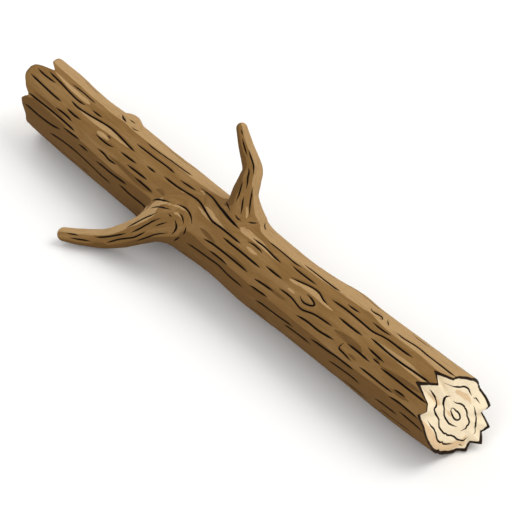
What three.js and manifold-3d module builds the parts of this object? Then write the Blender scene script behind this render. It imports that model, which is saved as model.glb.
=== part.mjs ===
// A fallen tree branch: a nearly straight length of limb wood, broken off at both ends, with two curved
// side limbs that have died back to blunt stubs. It lies on the ground on the underside of its stem and
// on the elbow of the lower side limb.
//
// Millimetres, +Z up. +X runs along the stem to its thick, freshly broken end, and the branch grew
// towards -X. Angles round the stem are in degrees: 0 is the top, 90 the -Y side, 180 the underside.
// The branch divides at two forks, so it is three solids: the stem and its two side limbs.

import * as THREE from "three";
import { mergeVertices } from "three/addons/utils/BufferGeometryUtils.js";
import Module from "manifold-3d";

// ---- driving dimensions ----

const TIP_X = -392; // mean plane of the break at the thin end
const BUTT_X = 394; // mean plane of the break at the thick end
const TIP_RADIUS = 44;
const BUTT_RADIUS = 48;
const BOW = 9; // how far the stem's middle bows towards -Y
const BOW_CENTRE_X = -40;
const BOW_REACH = 400;
const CLEARANCE = 3; // how far the stem's middle stands clear of the ground

const BUTT_TILT = 14; // the thick end's break leans back by this much on either side of its middle
const BUTT_TILT_ANGLE = 218; // where round the stem that break reaches furthest
const TIP_HOLLOW = 5; // depth of the dished middle of the thin end's break
const TEAR_REACH = 70; // how far along the stem the teeth of a break still shear its surface

const FORK_GAP = 0.3; // between a side limb's foot and the stem
const COLUMN_STEP = 7; // widest step between two columns of the stem's surface, in degrees
const STEM_ROWS = 46;
const LIMB_SIDES = 20;
const LIMB_ROWS = 20;
const TIP_ROWS = 4;

// The torn edge of each end: [angle round the stem, place along it], from notch to tooth to notch.
const TIP_TEAR = [
  [-52, -412], [-30, -409], [-12, -400], [-6, -390], [-2, -382], [3, -391], [8, -403], [13, -410],
  [22, -413], [32, -411], [42, -406], [50, -397], [57, -387], [60, -385], [64, -391], [72, -397],
  [80, -394], [88, -387], [94, -384], [105, -387], [122, -390], [150, -394], [172, -380], [196, -399],
  [222, -384], [248, -405], [276, -390],
];
const BUTT_TEAR = [
  [-52, 384], [-32, 391], [-8, 384], [-3, 386], [5, 359], [18, 379], [26, 366], [34, 354], [49, 384],
  [60, 390], [66, 385], [71, 380], [82, 391], [99, 399], [111, 403], [130, 401], [150, 400], [179, 400],
  [186, 408], [200, 401], [208, 415], [222, 403], [234, 410], [246, 389], [262, 400], [271, 393],
  [282, 382],
];

// Swellings of the stem: knots, healed scars, the collars of the side limbs and the two low places
// that it lies on. Those with a negative rise are the waists beyond the forks and shallow hollows.
// Each has a middle (x, angle), a rise, and its reach along and round the stem.
const SWELLINGS = [
  { x: -241, angle: -26, rise: 8.5, along: 16, around: 14 },
  { x: -241, angle: 36, rise: 2, along: 18, around: 8 },
  { x: 50, angle: 32, rise: 2.5, along: 17, around: 8 },
  { x: 159, angle: 39, rise: 3.5, along: 32, around: 14 },
  { x: 190, angle: -34, rise: 3.5, along: 30, around: 24 },
  { x: 241, angle: -18, rise: 3.5, along: 16, around: 13 },
  { x: 246, angle: 65, rise: 2, along: 20, around: 9 },
  { x: -88, angle: 76, rise: 6, along: 30, around: 28 },
  { x: -6, angle: -18, rise: 5, along: 30, around: 27 },
  { x: -15, angle: 128, rise: -4, along: 50, around: 45 },
  { x: 95, angle: -52, rise: -2, along: 45, around: 40 },
  { x: -165, angle: 235, rise: 3, along: 60, around: 35 },
  { x: 130, angle: 255, rise: -3, along: 70, around: 40 },
  { x: -310, angle: -52, rise: -2, along: 35, around: 40 },
  { x: 320, angle: 128, rise: 2, along: 80, around: 40 },
  { x: -330, angle: 120, rise: 1.4, along: 60, around: 40 },
  { x: 150, angle: 128, rise: -1.5, along: 90, around: 40 },
  { x: -330, angle: 187, rise: 3, along: 45, around: 22 },
  { x: 335, angle: 186, rise: 3, along: 50, around: 22 },
];

// Side limbs: the line each follows from inside the stem to its tip, and the radius at each point.
const LIMBS = {
  lower_side_limb: [
    { at: [-58, -18, 66], radius: 24 },
    { at: [-78, -44, 63], radius: 24 },
    { at: [-94, -56, 54], radius: 21 },
    { at: [-109, -70, 42], radius: 17.2 },
    { at: [-126, -84, 29.5], radius: 14.6 },
    { at: [-150, -97, 16], radius: 12 },
    { at: [-174, -115, 12], radius: 10.2 },
    { at: [-190, -129, 13], radius: 8.8 },
  ],
  upper_side_limb: [
    { at: [4, -2, 70], radius: 25 },
    { at: [-5, 5, 92], radius: 22 },
    { at: [-15, 13, 111], radius: 16.5 },
    { at: [-19, 24, 128], radius: 13.6 },
    { at: [-24, 31.5, 139], radius: 12 },
    { at: [-40, 34.5, 162], radius: 9 },
    { at: [-52, 38, 180], radius: 6.6 },
  ],
};

const BARK = new THREE.MeshStandardMaterial({ color: 0x8c6b41, roughness: 0.9, metalness: 0 });

// ---- helpers ----

const radians = THREE.MathUtils.degToRad;

/** The height at `angle` of a closed outline given as [angle, height] points in rising order. */
function outlineAt(outline, angle) {
  const first = outline[0][0];
  const turned = THREE.MathUtils.euclideanModulo(angle - first, 360) + first;
  const next = outline.findIndex(([a]) => a > turned);
  const [a0, h0] = outline.at(next < 0 ? -1 : next - 1);
  const [a1, h1] = next < 0 ? [first + 360, outline[0][1]] : outline[next];
  return THREE.MathUtils.mapLinear(turned, a0, a1, h0, h1);
}

/** The smallest turn between two angles, in degrees. */
function turnBetween(a, b) {
  return Math.abs(THREE.MathUtils.euclideanModulo(a - b + 180, 360) - 180);
}

/** A closed geometry from rings of points that all have the same count, with a point at either end. */
function closedLoft(start, rings, end) {
  const sides = rings[0].length;
  const points = [start, ...rings.flat(), end];
  const last = points.length - 1;
  const index = [];
  const corner = (ring, side) => 1 + ring * sides + (side % sides);
  for (let side = 0; side < sides; side++) {
    index.push(0, corner(0, side + 1), corner(0, side));
    index.push(last, corner(rings.length - 1, side), corner(rings.length - 1, side + 1));
    for (let ring = 0; ring + 1 < rings.length; ring++) {
      const [a, b] = [corner(ring, side), corner(ring, side + 1)];
      const [c, d] = [corner(ring + 1, side + 1), corner(ring + 1, side)];
      index.push(a, b, c, a, c, d);
    }
  }
  const geometry = new THREE.BufferGeometry().setFromPoints(points);
  geometry.setIndex(index);
  geometry.computeVertexNormals();
  return geometry;
}

// ---- the stem ----

function stemRadius(x, angle) {
  const plain = THREE.MathUtils.mapLinear(x, TIP_X, BUTT_X, TIP_RADIUS, BUTT_RADIUS);
  const swollen = SWELLINGS.map(
    (s) => s.rise * Math.exp(-(((x - s.x) / s.along) ** 2) - (turnBetween(angle, s.angle) / s.around) ** 2),
  );
  return swollen.reduce((sum, rise) => sum + rise, plain);
}

/** The middle of the stem at x: it bows towards -Y, and its underside is level but for the clearance. */
function stemMiddle(x) {
  const bow = 1 - ((x - BOW_CENTRE_X) / BOW_REACH) ** 2;
  const plain = THREE.MathUtils.mapLinear(x, TIP_X, BUTT_X, TIP_RADIUS, BUTT_RADIUS);
  return new THREE.Vector3(x, -BOW * bow, plain + CLEARANCE);
}

function stemPoint(x, angle, share = 1, extra = 0) {
  const reach = share * (stemRadius(x, angle) + extra);
  const a = radians(angle);
  return stemMiddle(x).add(new THREE.Vector3(0, -reach * Math.sin(a), reach * Math.cos(a)));
}

/** Every angle that a tear has a point at, with the gaps between them filled in. */
function stemColumns() {
  const keys = [...TIP_TEAR, ...BUTT_TEAR].map(([a]) => THREE.MathUtils.euclideanModulo(a, 360));
  const sorted = keys.sort((a, b) => a - b).filter((a, i) => i === 0 || a - keys[i - 1] > 2.5);
  return sorted.flatMap((a, i) => {
    const b = i + 1 < sorted.length ? sorted[i + 1] : sorted[0] + 360;
    const steps = Math.max(1, Math.round((b - a) / COLUMN_STEP));
    return Array.from({ length: steps }, (_, k) => a + ((b - a) * k) / steps);
  });
}

/** How far the break at the thick end leans forward at a share of the radius. */
function buttLean(angle, share) {
  return BUTT_TILT * share * Math.cos(radians(angle - BUTT_TILT_ANGLE));
}

/** A ring across a break, at a share of the radius. The teeth fade towards its middle. */
function breakRing(columns, plane, tear, lean, hollow, share, extra) {
  return columns.map((angle) => {
    const tooth = outlineAt(tear, angle) - plane - lean(angle, 1);
    const x = plane + lean(angle, share) + tooth * share ** 4 + hollow * (1 - share ** 2);
    return stemPoint(x, angle, share, extra);
  });
}

/** A ring of the bark at a share of the stem's length: near a break it shears into its teeth. */
function barkRing(columns, share, extra) {
  const plainX = THREE.MathUtils.lerp(TIP_X, BUTT_X, share);
  const pull = (x) => Math.max(0, 1 - Math.abs(plainX - x) / TEAR_REACH) ** 2;
  return columns.map((angle) => {
    const tip = (outlineAt(TIP_TEAR, angle) - TIP_X) * pull(TIP_X);
    const butt = (outlineAt(BUTT_TEAR, angle) - BUTT_X) * pull(BUTT_X);
    return stemPoint(plainX + tip + butt, angle, 1, extra);
  });
}

/** The whole stem, with its bark moved outwards by `extra`. */
function stemGeometry(extra = 0) {
  const columns = stemColumns();
  const noLean = () => 0;
  const shares = [0.35, 0.68, 0.88];
  const tip = (s) => breakRing(columns, TIP_X, TIP_TEAR, noLean, TIP_HOLLOW, s, extra);
  const butt = (s) => breakRing(columns, BUTT_X, BUTT_TEAR, buttLean, 0, s, extra);
  const bark = Array.from({ length: STEM_ROWS + 1 }, (_, i) => barkRing(columns, i / STEM_ROWS, extra));
  const rings = [...shares.map(tip), ...bark, ...shares.toReversed().map(butt)];
  return closedLoft(stemMiddle(TIP_X + TIP_HOLLOW), rings, stemMiddle(BUTT_X));
}

// ---- the side limbs ----

/** A tapering limb along a curve through its stations, with a domed tip. */
function limbGeometry(stations) {
  const curve = new THREE.CatmullRomCurve3(stations.map((s) => new THREE.Vector3(...s.at)));
  const frames = curve.computeFrenetFrames(LIMB_ROWS);
  const radii = new THREE.SplineCurve(stations.map((s, i) => new THREE.Vector2(i, s.radius)));
  const ringAt = (row, radius, forward) => {
    const middle = curve.getPointAt(row / LIMB_ROWS).addScaledVector(frames.tangents[row], forward);
    return Array.from({ length: LIMB_SIDES }, (_, side) => {
      const turn = (side / LIMB_SIDES) * Math.PI * 2;
      return middle
        .clone()
        .addScaledVector(frames.normals[row], radius * Math.cos(turn))
        .addScaledVector(frames.binormals[row], radius * Math.sin(turn));
    });
  };
  const radiusAt = (row) => radii.getPoint(curve.getUtoTmapping(row / LIMB_ROWS)).y;
  const shaft = Array.from({ length: LIMB_ROWS + 1 }, (_, row) => ringAt(row, radiusAt(row), 0));
  const tipRadius = radiusAt(LIMB_ROWS);
  const dome = Array.from({ length: TIP_ROWS - 1 }, (_, i) => {
    const lift = (Math.PI / 2) * ((i + 1) / TIP_ROWS);
    return ringAt(LIMB_ROWS, tipRadius * Math.cos(lift), tipRadius * Math.sin(lift));
  });
  const tip = curve.getPointAt(1).addScaledVector(frames.tangents[LIMB_ROWS], tipRadius);
  return closedLoft(curve.getPointAt(0), [...shaft, ...dome], tip);
}

// ---- cutting the limbs' feet to the stem ----

const wasm = await Module();
wasm.setup();

function toSolid(geometry) {
  const bare = geometry.clone();
  bare.deleteAttribute("normal");
  const merged = mergeVertices(bare);
  return new wasm.Manifold(
    new wasm.Mesh({
      numProp: 3,
      vertProperties: merged.attributes.position.array,
      triVerts: new Uint32Array(merged.index.array),
    }),
  );
}

function toGeometry(solid) {
  const mesh = solid.getMesh();
  const geometry = new THREE.BufferGeometry();
  geometry.setAttribute("position", new THREE.BufferAttribute(new Float32Array(mesh.vertProperties), 3));
  geometry.setIndex(new THREE.BufferAttribute(mesh.triVerts, 1));
  geometry.computeVertexNormals();
  return geometry;
}

// ---- the branch, standing on z = 0 with its box centred on the origin ----

function namedMesh(name, geometry) {
  const mesh = new THREE.Mesh(geometry, BARK.clone());
  mesh.name = name;
  return mesh;
}

const lying = new THREE.Group();
const stemSeat = toSolid(stemGeometry(FORK_GAP));
lying.add(namedMesh("main_stem", stemGeometry()));
for (const [name, stations] of Object.entries(LIMBS)) {
  lying.add(namedMesh(name, toGeometry(toSolid(limbGeometry(stations)).subtract(stemSeat))));
}

const box = new THREE.Box3().setFromObject(lying, true);
const middle = box.getCenter(new THREE.Vector3());
lying.position.set(-middle.x, -middle.y, -box.min.z);

const branch = new THREE.Group();
branch.add(lying);

export default branch;
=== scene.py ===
"""A fallen branch: bark with furrows, knots and scars over a nearly straight stem, pale torn wood across its
two broken ends, and two dead side limbs that grow out of swollen collars.

The tables are in millimetres and degrees. X runs along the stem, and an angle goes round it: 0 is the top,
90 the -Y side, 180 the underside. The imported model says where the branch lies. Everything random is seeded.
"""

import math
from types import SimpleNamespace

import bpy
import numpy as np
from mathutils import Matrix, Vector


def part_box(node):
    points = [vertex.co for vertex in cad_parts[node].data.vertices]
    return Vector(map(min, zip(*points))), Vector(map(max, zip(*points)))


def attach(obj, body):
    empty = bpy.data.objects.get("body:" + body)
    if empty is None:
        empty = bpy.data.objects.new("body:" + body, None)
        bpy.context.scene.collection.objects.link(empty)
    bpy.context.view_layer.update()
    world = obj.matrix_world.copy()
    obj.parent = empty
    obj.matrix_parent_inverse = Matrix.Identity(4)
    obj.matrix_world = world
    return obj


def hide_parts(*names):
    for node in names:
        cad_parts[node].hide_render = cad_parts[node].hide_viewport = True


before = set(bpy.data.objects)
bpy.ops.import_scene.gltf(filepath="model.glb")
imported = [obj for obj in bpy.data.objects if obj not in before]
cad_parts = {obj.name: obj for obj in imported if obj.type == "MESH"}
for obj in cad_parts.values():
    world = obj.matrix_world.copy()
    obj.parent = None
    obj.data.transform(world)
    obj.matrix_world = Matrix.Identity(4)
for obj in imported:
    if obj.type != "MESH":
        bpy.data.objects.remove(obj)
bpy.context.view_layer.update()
SCENE = bpy.context.scene

MM = 0.001

# ---- the stem's shape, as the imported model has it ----

TIP_X = -392  # mean plane of the break at the thin end
BUTT_X = 394  # mean plane of the break at the thick end
TIP_RADIUS = 44
BUTT_RADIUS = 48
BOW = 9  # how far the stem bends to the -Y side
BOW_CENTRE_X = -40
BOW_REACH = 400
CLEARANCE = 3  # height of the plain underside: only its swellings reach the ground
TILT_ANGLE = 218  # where the thick end's leaning break is furthest out
TEAR_REACH = 70  # how far from an end its torn edge moves the bark
SPLINTER_RING = 50

# The torn edge of each end: (angle, x) from notch to tooth to notch.
TIP_TEAR = [
    (-52, -412), (-30, -409), (-12, -400), (-6, -390), (-2, -382), (3, -391), (8, -403), (13, -410),
    (22, -413), (32, -411), (42, -406), (50, -397), (57, -387), (60, -385), (64, -391), (72, -397),
    (80, -394), (88, -387), (94, -384), (105, -387), (122, -390), (150, -394), (172, -380), (196, -399),
    (222, -384), (248, -405), (276, -390),
]
BUTT_TEAR = [
    (-52, 384), (-32, 391), (-8, 384), (-3, 386), (5, 359), (18, 379), (26, 366), (34, 354), (49, 384),
    (60, 390), (66, 385), (71, 380), (82, 391), (99, 399), (111, 403), (130, 401), (150, 400), (179, 400),
    (186, 408), (200, 401), (208, 415), (222, 403), (234, 410), (246, 389), (262, 400), (271, 393),
    (282, 382),
]

# Swellings and hollows: (x, angle, rise, reach along, reach round).
SWELLINGS = [
    (-241, -26, 8.5, 16, 14),
    (-241, 36, 2, 18, 8),
    (50, 32, 2.5, 17, 8),
    (159, 39, 3.5, 32, 14),
    (190, -34, 3.5, 30, 24),
    (241, -18, 3.5, 16, 13),
    (246, 65, 2, 20, 9),
    (-88, 76, 6, 30, 28),
    (-6, -18, 5, 30, 27),
    (-15, 128, -4, 50, 45),
    (95, -52, -2, 45, 40),
    (-165, 235, 3, 60, 35),
    (130, 255, -3, 70, 40),
    (-310, -52, -2, 35, 40),
    (320, 128, 2, 80, 40),
    (-330, 120, 1.4, 60, 40),
    (150, 128, -1.5, 90, 40),
    (-330, 187, 3, 45, 22),
    (335, 186, 3, 50, 22),
]

# Each side limb's line from inside the stem to its tip, and its radius at each point: (x, y, z, radius).
LIMBS = {
    "lower_side_limb": [
        (-58, -18, 66, 24), (-78, -44, 63, 24), (-94, -56, 54, 21), (-109, -70, 42, 17.2),
        (-126, -84, 29.5, 14.6), (-150, -97, 16, 12), (-174, -115, 12, 10.2), (-190, -129, 13, 8.8),
    ],
    "upper_side_limb": [
        (4, -2, 70, 25), (-5, 5, 92, 22), (-15, 13, 111, 16.5), (-19, 24, 128, 13.6),
        (-24, 31.5, 139, 12), (-40, 34.5, 162, 9), (-52, 38, 180, 6.6),
    ],
}

# ---- the bark's furrows, each the points of one crack: (x, angle), ... ----

STEM_FURROWS = [
    # the thin end, as far as the lower side limb
    [(-346, -4), (-320, -5.5), (-295, -4)],
    [(-386, 7), (-360, 8.5), (-340, 11), (-320, 13), (-301, 11.5)],
    [(-403, 16), (-387, 17), (-362, 15.5)],
    [(-287, 10), (-267, 9.5)],
    [(-322, 21), (-307, 22.5), (-287, 20.5), (-270, 17.5), (-253, 14.7), (-240, 13.7), (-223, 14.7),
     (-200, 17.5),
     (-187, 18.7)],
    [(-402, 31), (-378, 32), (-353, 33), (-332, 33)],
    [(-318, 35), (-302, 36), (-287, 35)],
    [(-333, 45.5), (-313, 44.5), (-297, 46)],
    [(-387, 56.5), (-370, 56), (-337, 54.7), (-312, 54.5), (-285, 55.3)],
    [(-388, 77), (-365, 77), (-345, 76), (-327, 74), (-311, 70)],
    [(-305, 63), (-287, 62), (-272, 61)],
    [(-271, 68), (-251, 67.5)],
    [(-329, 90), (-313, 87), (-295, 85), (-278, 84), (-260, 85), (-237, 87), (-220, 88), (-197, 88)],
    [(-237, 52), (-223, 52.5), (-212, 54.5), (-197, 53)],
    [(-204, 33), (-172, 31.7)],
    [(-183, 42), (-142, 40.5)],
    [(-231, 71), (-203, 70.5), (-168, 68.7)],
    [(-197, 6), (-160, 4.7), (-138, 3.3), (-119, 4.5)],
    [(-190, -9.2), (-178, -8.7), (-160, -10.8), (-133, -12.8), (-104, -14.7)],
    [(-157, 23.7), (-139, 23.7)],
    [(-161, 49.7), (-142, 50), (-123, 50.5)],
    [(-181, 76.7), (-160, 78.7), (-140, 78.3), (-118, 76.7)],
    # between and round the side limbs
    [(-105, 8), (-90, 6), (-75, 5.5)],
    [(-76, -3.7), (-67, -5), (-53, -4), (-40, 0), (-27, 5), (-12, 9.8), (0, 11.8), (16, 12.3)],
    [(-126, 19.7), (-100, 19.2), (-80, 17.5), (-62, 16.2), (-50, 18.3), (-40, 21.7), (-28, 25.8),
     (-20, 27.3),
     (0, 27), (34, 27.5)],
    [(7, 36.3), (23, 36.7), (45, 36.8), (79, 38)],
    [(-17, 56), (0, 53.7), (20, 53.3), (42, 53.7), (67, 54.5)],
    [(-2, 65.5), (17, 65), (33, 65.5)],
    [(-41, 81), (-23, 80), (0, 78.3), (20, 76.7), (40, 79), (67, 80)],
    [(40, 8.7), (60, 8), (77, 10.5), (96, 12.8)],
    [(54, -4.7), (70, -5.3), (87, -5), (103, -3.7), (117, -3.7)],
    [(84, 30.5), (100, 31), (115, 31)],
    [(78, 68.3), (92, 67.8), (111, 66.7)],
    [(80, 56), (95, 54.5), (116, 53.3)],
    [(92, 84.3), (113, 82.7), (137, 81.7), (162, 80)],
    # beyond the side limbs, as far as the thick end
    [(115, -12.8), (137, -12.5), (162, -10.8), (182, -9.7)],
    [(109, 4.2), (128, 5), (154, 5.7)],
    [(146, 88), (170, 87), (195, 86.7)],
    [(162, 60.3), (180, 58.3), (200, 59), (217, 57.2), (227, 55.8)],
    [(194, 77.5), (220, 76.5), (242, 74.2), (258, 74.5), (271, 75)],
    [(206, 0.3), (227, 0)],
    [(187, 10), (203, 9), (217, 9), (240, 10.3), (257, 11.7), (267, 10.8), (275, 8.7), (287, 7.7),
     (307, 8.3),
     (327, 8.7)],
    [(214, 25.3), (233, 26.2), (256, 26.3)],
    [(250, -0.3), (267, 0), (281, -0.7)],
    [(281, -11.7), (293, -11.3), (307, -13), (320, -13), (333, -11.3), (360, -9.7), (384, -8)],
    [(267, 21.7), (283, 22.5), (300, 24.2), (323, 24.7), (342, 24), (371, 23.8)],
    [(273, 35.3), (287, 37), (304, 38.8)],
    [(288, 43.3), (302, 44.3)],
    [(305, 47.8), (327, 48), (350, 48.8), (385, 49.7)],
    [(247, 48.3), (267, 48.7), (287, 50.3)],
    [(278, 65), (297, 65.8), (317, 66.7), (336, 66.7)],
    [(335, 60.8), (355, 60.5)],
    [(332, 74.5), (350, 73.7), (367, 75), (383, 75.8)],
    [(228, 90.8), (247, 89.2), (267, 88), (285, 89.2)],
    [(311, 93.7), (327, 93.7), (350, 94.2)],
    [(353, 85.5), (373, 88), (393, 90.8)],
]

# Finer marks: the rims of knots and the wrinkles of the collars.
STEM_WRINKLES = [
    # the raised knot by the thin end, and the small knot below it
    [(-253, -16.7), (-247, -13.3), (-238, -11.3)],
    [(-239, -17), (-229, -19)],
    [(-227, -12.5), (-222, -13.7), (-217, -17.5)],
    [(-251, 37), (-237, 37.5), (-226, 37), (-217, 34.7)],
    [(-238, 26.3), (-229, 27.2)],
    # at the foot of the upper side limb
    [(23, -28.3), (34, -19.7)],
    # the eyelid, and the large eye
    [(38, 18.7), (45, 16.3), (53, 16.2), (62, 17.2), (66, 19.2)],
    [(123, 20.5), (137, 17), (153, 13.3), (165, 12.8), (175, 16.7), (180, 18.7), (189, 20.5)],
    [(121, 44.2), (137, 43.8), (148, 45), (157, 47.5), (165, 48.8), (173, 46.7), (183, 43.7), (197, 42.3),
     (215, 41.7)],
    [(157, 26.7), (165, 27.5), (173, 30.3), (176.3, 33.3), (172.5, 37), (164, 39.2), (158, 38), (153, 35)],
    # the hooked scar on top, the nick beside it and the bent crack lower down
    [(230, -16.7), (233, -14.2), (242, -16.2), (248, -16.7), (252.5, -14.7), (253, -12.5), (251, -11.2)],
    [(255, -21.7), (260, -17.5), (265, -13.3)],
    [(242, 51.2), (240, 55.8), (240, 60.8), (250, 62.5), (264, 65.5)],
]

# Cracks of the side limbs: (distance along, angle). Angle 0 on a limb faces +X -Y +Z, and distance is
# measured along the limb's line.
LIMB_FURROWS = {
    "lower_side_limb": [
        [(38, -35.5), (52, -38), (70, -43), (85, -47.5)],
        [(67, -18), (78, -23.5), (87, -26), (96, -20.5), (105, -16.5), (114, -19), (124, -23)],
        [(36, -3.7), (47, -8.8)],
        [(41, 11.5), (54, 5.6), (70, 1.6), (86, -2)],
        [(94, 3), (105, 6.5), (120, 9), (143, 13)],
        [(44.5, 33), (50, 29.5), (62, 31), (76, 32), (91, 28)],
        [(149, -17), (162, -13), (177, -12.5)],
        [(166, 15), (173, 19), (182, 18)],
        # the wrinkles of its collar
        [(32, 10), (34, 20)],
        [(29, -0.6), (28.5, -16), (30, -27), (33.5, -39)],
        [(26.5, -45), (30, -53), (34, -62)],
        [(32.5, 33), (38, 43), (46, 55), (56, 62)],
        [(33, 60), (40, 74), (48, 85), (57, 91)],
        [(12, -10), (12.5, 4), (15, 19), (20, 34), (27, 47)],
        [(21, -10), (21.5, 1), (22.5, 9), (25, 17)],
        [(18.8, -18), (20.5, -28), (22.5, -37)],
    ],
    "upper_side_limb": [
        [(29.5, -11), (37, -6.5), (48, -2)],
        [(43, -30), (50, -26), (57, -28.5), (65, -35)],
        [(59.5, -2), (67, -9), (72, -15.5), (78, -21), (84, -23.5)],
        [(29, 16), (37.5, 22), (47, 30), (54, 31), (62, 26)],
        [(75.5, 6), (82, 7), (88, 10), (96, 9.5), (106, 10)],
        [(100.5, -12), (109, -14), (120, -17)],
        [(124.5, -11), (131, -12)],
        # the wrinkles of its collar
        [(23, -8), (25, -19), (28.5, -29)],
        [(21.5, 11), (20.7, 22), (20.3, 33)],
        [(32.5, -51), (36, -63), (39, -80), (41, -105)],
    ],
}

# Painted highlight streaks beside the furrows, and darker streaks that are partly painted shade and partly
# darker bark, each the points of its middle line: (x, angle, half its width).
STEM_PAINTED_HIGHLIGHTS = [
    [(-380, 0, 0.6), (-350, 3.5, 2.4), (-322, 4.5, 3.1), (-305, 5, 2.8), (-299, 5, 1.5)],
    [(-300, 24, 0.6), (-285, 23.8, 1.8), (-260, 21, 3.4), (-240, 19.7, 3.4), (-220, 20.7, 2),
     (-200, 20, 0.8)],
    [(-252, 32, 1.6), (-244, 31.5, 2.9), (-236, 31.5, 2.4), (-230, 31.5, 1)],
    [(-71, 1, 1), (-63, 1.8, 1.8), (-57, 2.8, 1)],
    [(-55, 15, 0.4), (-40, 17.5, 2.5), (-33, 19.5, 3.1), (-20, 22.5, 2.6), (0, 25, 1.5), (15, 26.3, 0.4)],
    [(-90, 21, 0.4), (-70, 22.5, 2.2), (-55, 23.5, 2.9), (-45, 25, 2.4), (-33, 27.5, 1.4),
     (-20, 29.5, 0.4)],
    [(14, 9.5, 1), (22, 8.7, 4), (40, 8, 4.3), (58, 9, 3.6), (75, 11.5, 2), (93, 14, 0.4)],
    [(45, 26, 1), (50, 26, 2.1), (58, 26, 2.1), (63, 26, 1)],
    [(123, 24.5, 1), (130, 23.5, 2.1), (140, 21.4, 2.2), (152, 19.8, 3), (162, 19, 3.3), (172, 19.8, 3),
     (180, 21.8, 2.2), (190, 22.7, 1.7), (200, 23, 0.8)],
    [(131, 36.5, 0.8), (138, 36.8, 1.6), (144, 37, 0.8)],
    [(275, 20.5, 0.3), (300, 21, 1.8), (320, 20.8, 2.5), (340, 21.3, 1.8), (362, 22.5, 0.4)],
    [(290, 25, 0.3), (320, 26.8, 0.9), (345, 27.6, 1.6), (362, 27.4, 1.7), (370, 26, 0.6)],
    [(-106, 50, 0.5), (-97, 48, 1.6), (-86, 46, 1.2), (-80, 46, 0.3)],
    [(-80, 42.5, 0.8), (-74, 41.5, 1.2), (-66, 41, 0.6)],
    [(-80, 51, 1), (-72, 51.5, 1.5), (-62, 52, 0.6)],
]
# Darker streaks: partly painted shade, partly darker bark.
STEM_DARK_BARK_AND_SHADE = [
    [(-382, 50, 0.4), (-360, 48.5, 2), (-335, 49, 2), (-310, 52, 0.4)],
    [(-216, 49, 0.5), (-190, 50, 2.5), (-160, 52, 3.2), (-140, 53, 2.5), (-122, 52, 0.5)],
    [(-121, 42.5, 1), (-113, 40.5, 2.8), (-106, 41.5, 2.2), (-102, 43, 0.6)],
    [(-29, 46.5, 1.2), (-20, 47, 2.8), (-8, 48.5, 2.6), (3, 50, 0.6)],
    [(22, 49, 0.3), (45, 50, 1.4), (67, 51.5, 0.4)],
    [(96, 52, 0.6), (115, 53, 2), (130, 53, 2), (138, 52, 0.8)],
    [(221, 43.5, 1), (235, 43, 3.4), (250, 43.3, 4), (264, 44, 3.2), (271, 46, 1)],
    [(300, 46, 0.6), (320, 44.5, 1.8), (345, 43, 2.6), (362, 42.5, 2), (370, 43, 0.6)],
    [(256, 59, 0.8), (262, 59, 1.9), (269, 60, 1)],
    [(328, 63, 0.6), (340, 63.5, 2), (352, 63.5, 2), (362, 62, 0.8)],
]

# Where the painted highlight along the stem's top begins, and where the painted shade along its underside
# begins: (x, angle).
PAINTED_HIGHLIGHT_FROM = [
    (-412, -14), (-330, -12), (-260, -10), (-100, -10), (-45, -14), (-20, -40), (10, -40), (20, -20),
    (35, -9), (60, -5), (130, -5), (180, -8), (220, -10), (260, -5.5), (300, -2.5), (340, 0.5), (400, 0.5),
]
PAINTED_SHADE_FROM = [
    (-412, 62), (-384, 61), (-375, 57), (-350, 57), (-305, 58), (-290, 62), (-262, 60), (-240, 61),
    (-200, 62), (-160, 61), (-122, 59), (-45, 62), (0, 65), (40, 67), (120, 68), (170, 70), (240, 71),
    (300, 72), (345, 73), (400, 76),
]
# Where the painted highlight and the painted shade end round the stem.
PAINTED_HIGHLIGHT_TO = -82
PAINTED_SHADE_TO = 158

# The same painted highlight and painted shade on a side limb: (distance along, angle where the painted
# highlight begins, angle where the painted shade begins).
LIMB_HIGHLIGHT_AND_SHADE = {
    "lower_side_limb": [
        (0, 250, -75), (38, 250, -50), (43, 60, -50), (47, 24, -50), (60, 17, -48), (76, 18, -40),
        (90, 23, -38),
        (97, 19, -36), (110, 16, -36), (124, 17, -34), (131, 18, -18), (145, 19, -18), (151, 18, -32),
        (165, 19, -36), (172, 24, -38), (186, 26, -40),
    ],
    "upper_side_limb": [
        (0, 40, -250), (20, 29, -250), (35, 35, -250), (37, 36, -60), (41, 37, -37), (50, 39, -36),
        (56, 33, -32),
        (62, 25, -27), (66, 17, -38), (72, 13, -42), (80, 12, -40), (90, 16, -28), (100, 13, -24),
        (106, 12, -34),
        (115, 5, -38), (131, 0, -40),
    ],
}
# Where a side limb's painted highlight and painted shade end.
LIMB_HIGHLIGHT_TO = 150
LIMB_SHADE_TO = -165

# Painted highlight streaks on a side limb: (distance along, angle, half its width).
LIMB_PAINTED_HIGHLIGHTS = {
    "lower_side_limb": [
        [(22.5, 2, 0.5), (25, 12, 1.3), (28.5, 21, 1.4), (31, 27, 0.5)],
        [(15, 15, 0.4), (19, 26, 1.5), (24, 36, 1.7), (29, 44, 1.2), (34, 50, 0.5)],
        [(32, 50, 0.5), (40, 62, 2.2), (48, 72, 2.4), (57, 79, 0.8)],
    ],
    "upper_side_limb": [
        [(25.5, 7, 1), (30, 9, 1.5), (36, 11, 1)],
    ],
}

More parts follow.
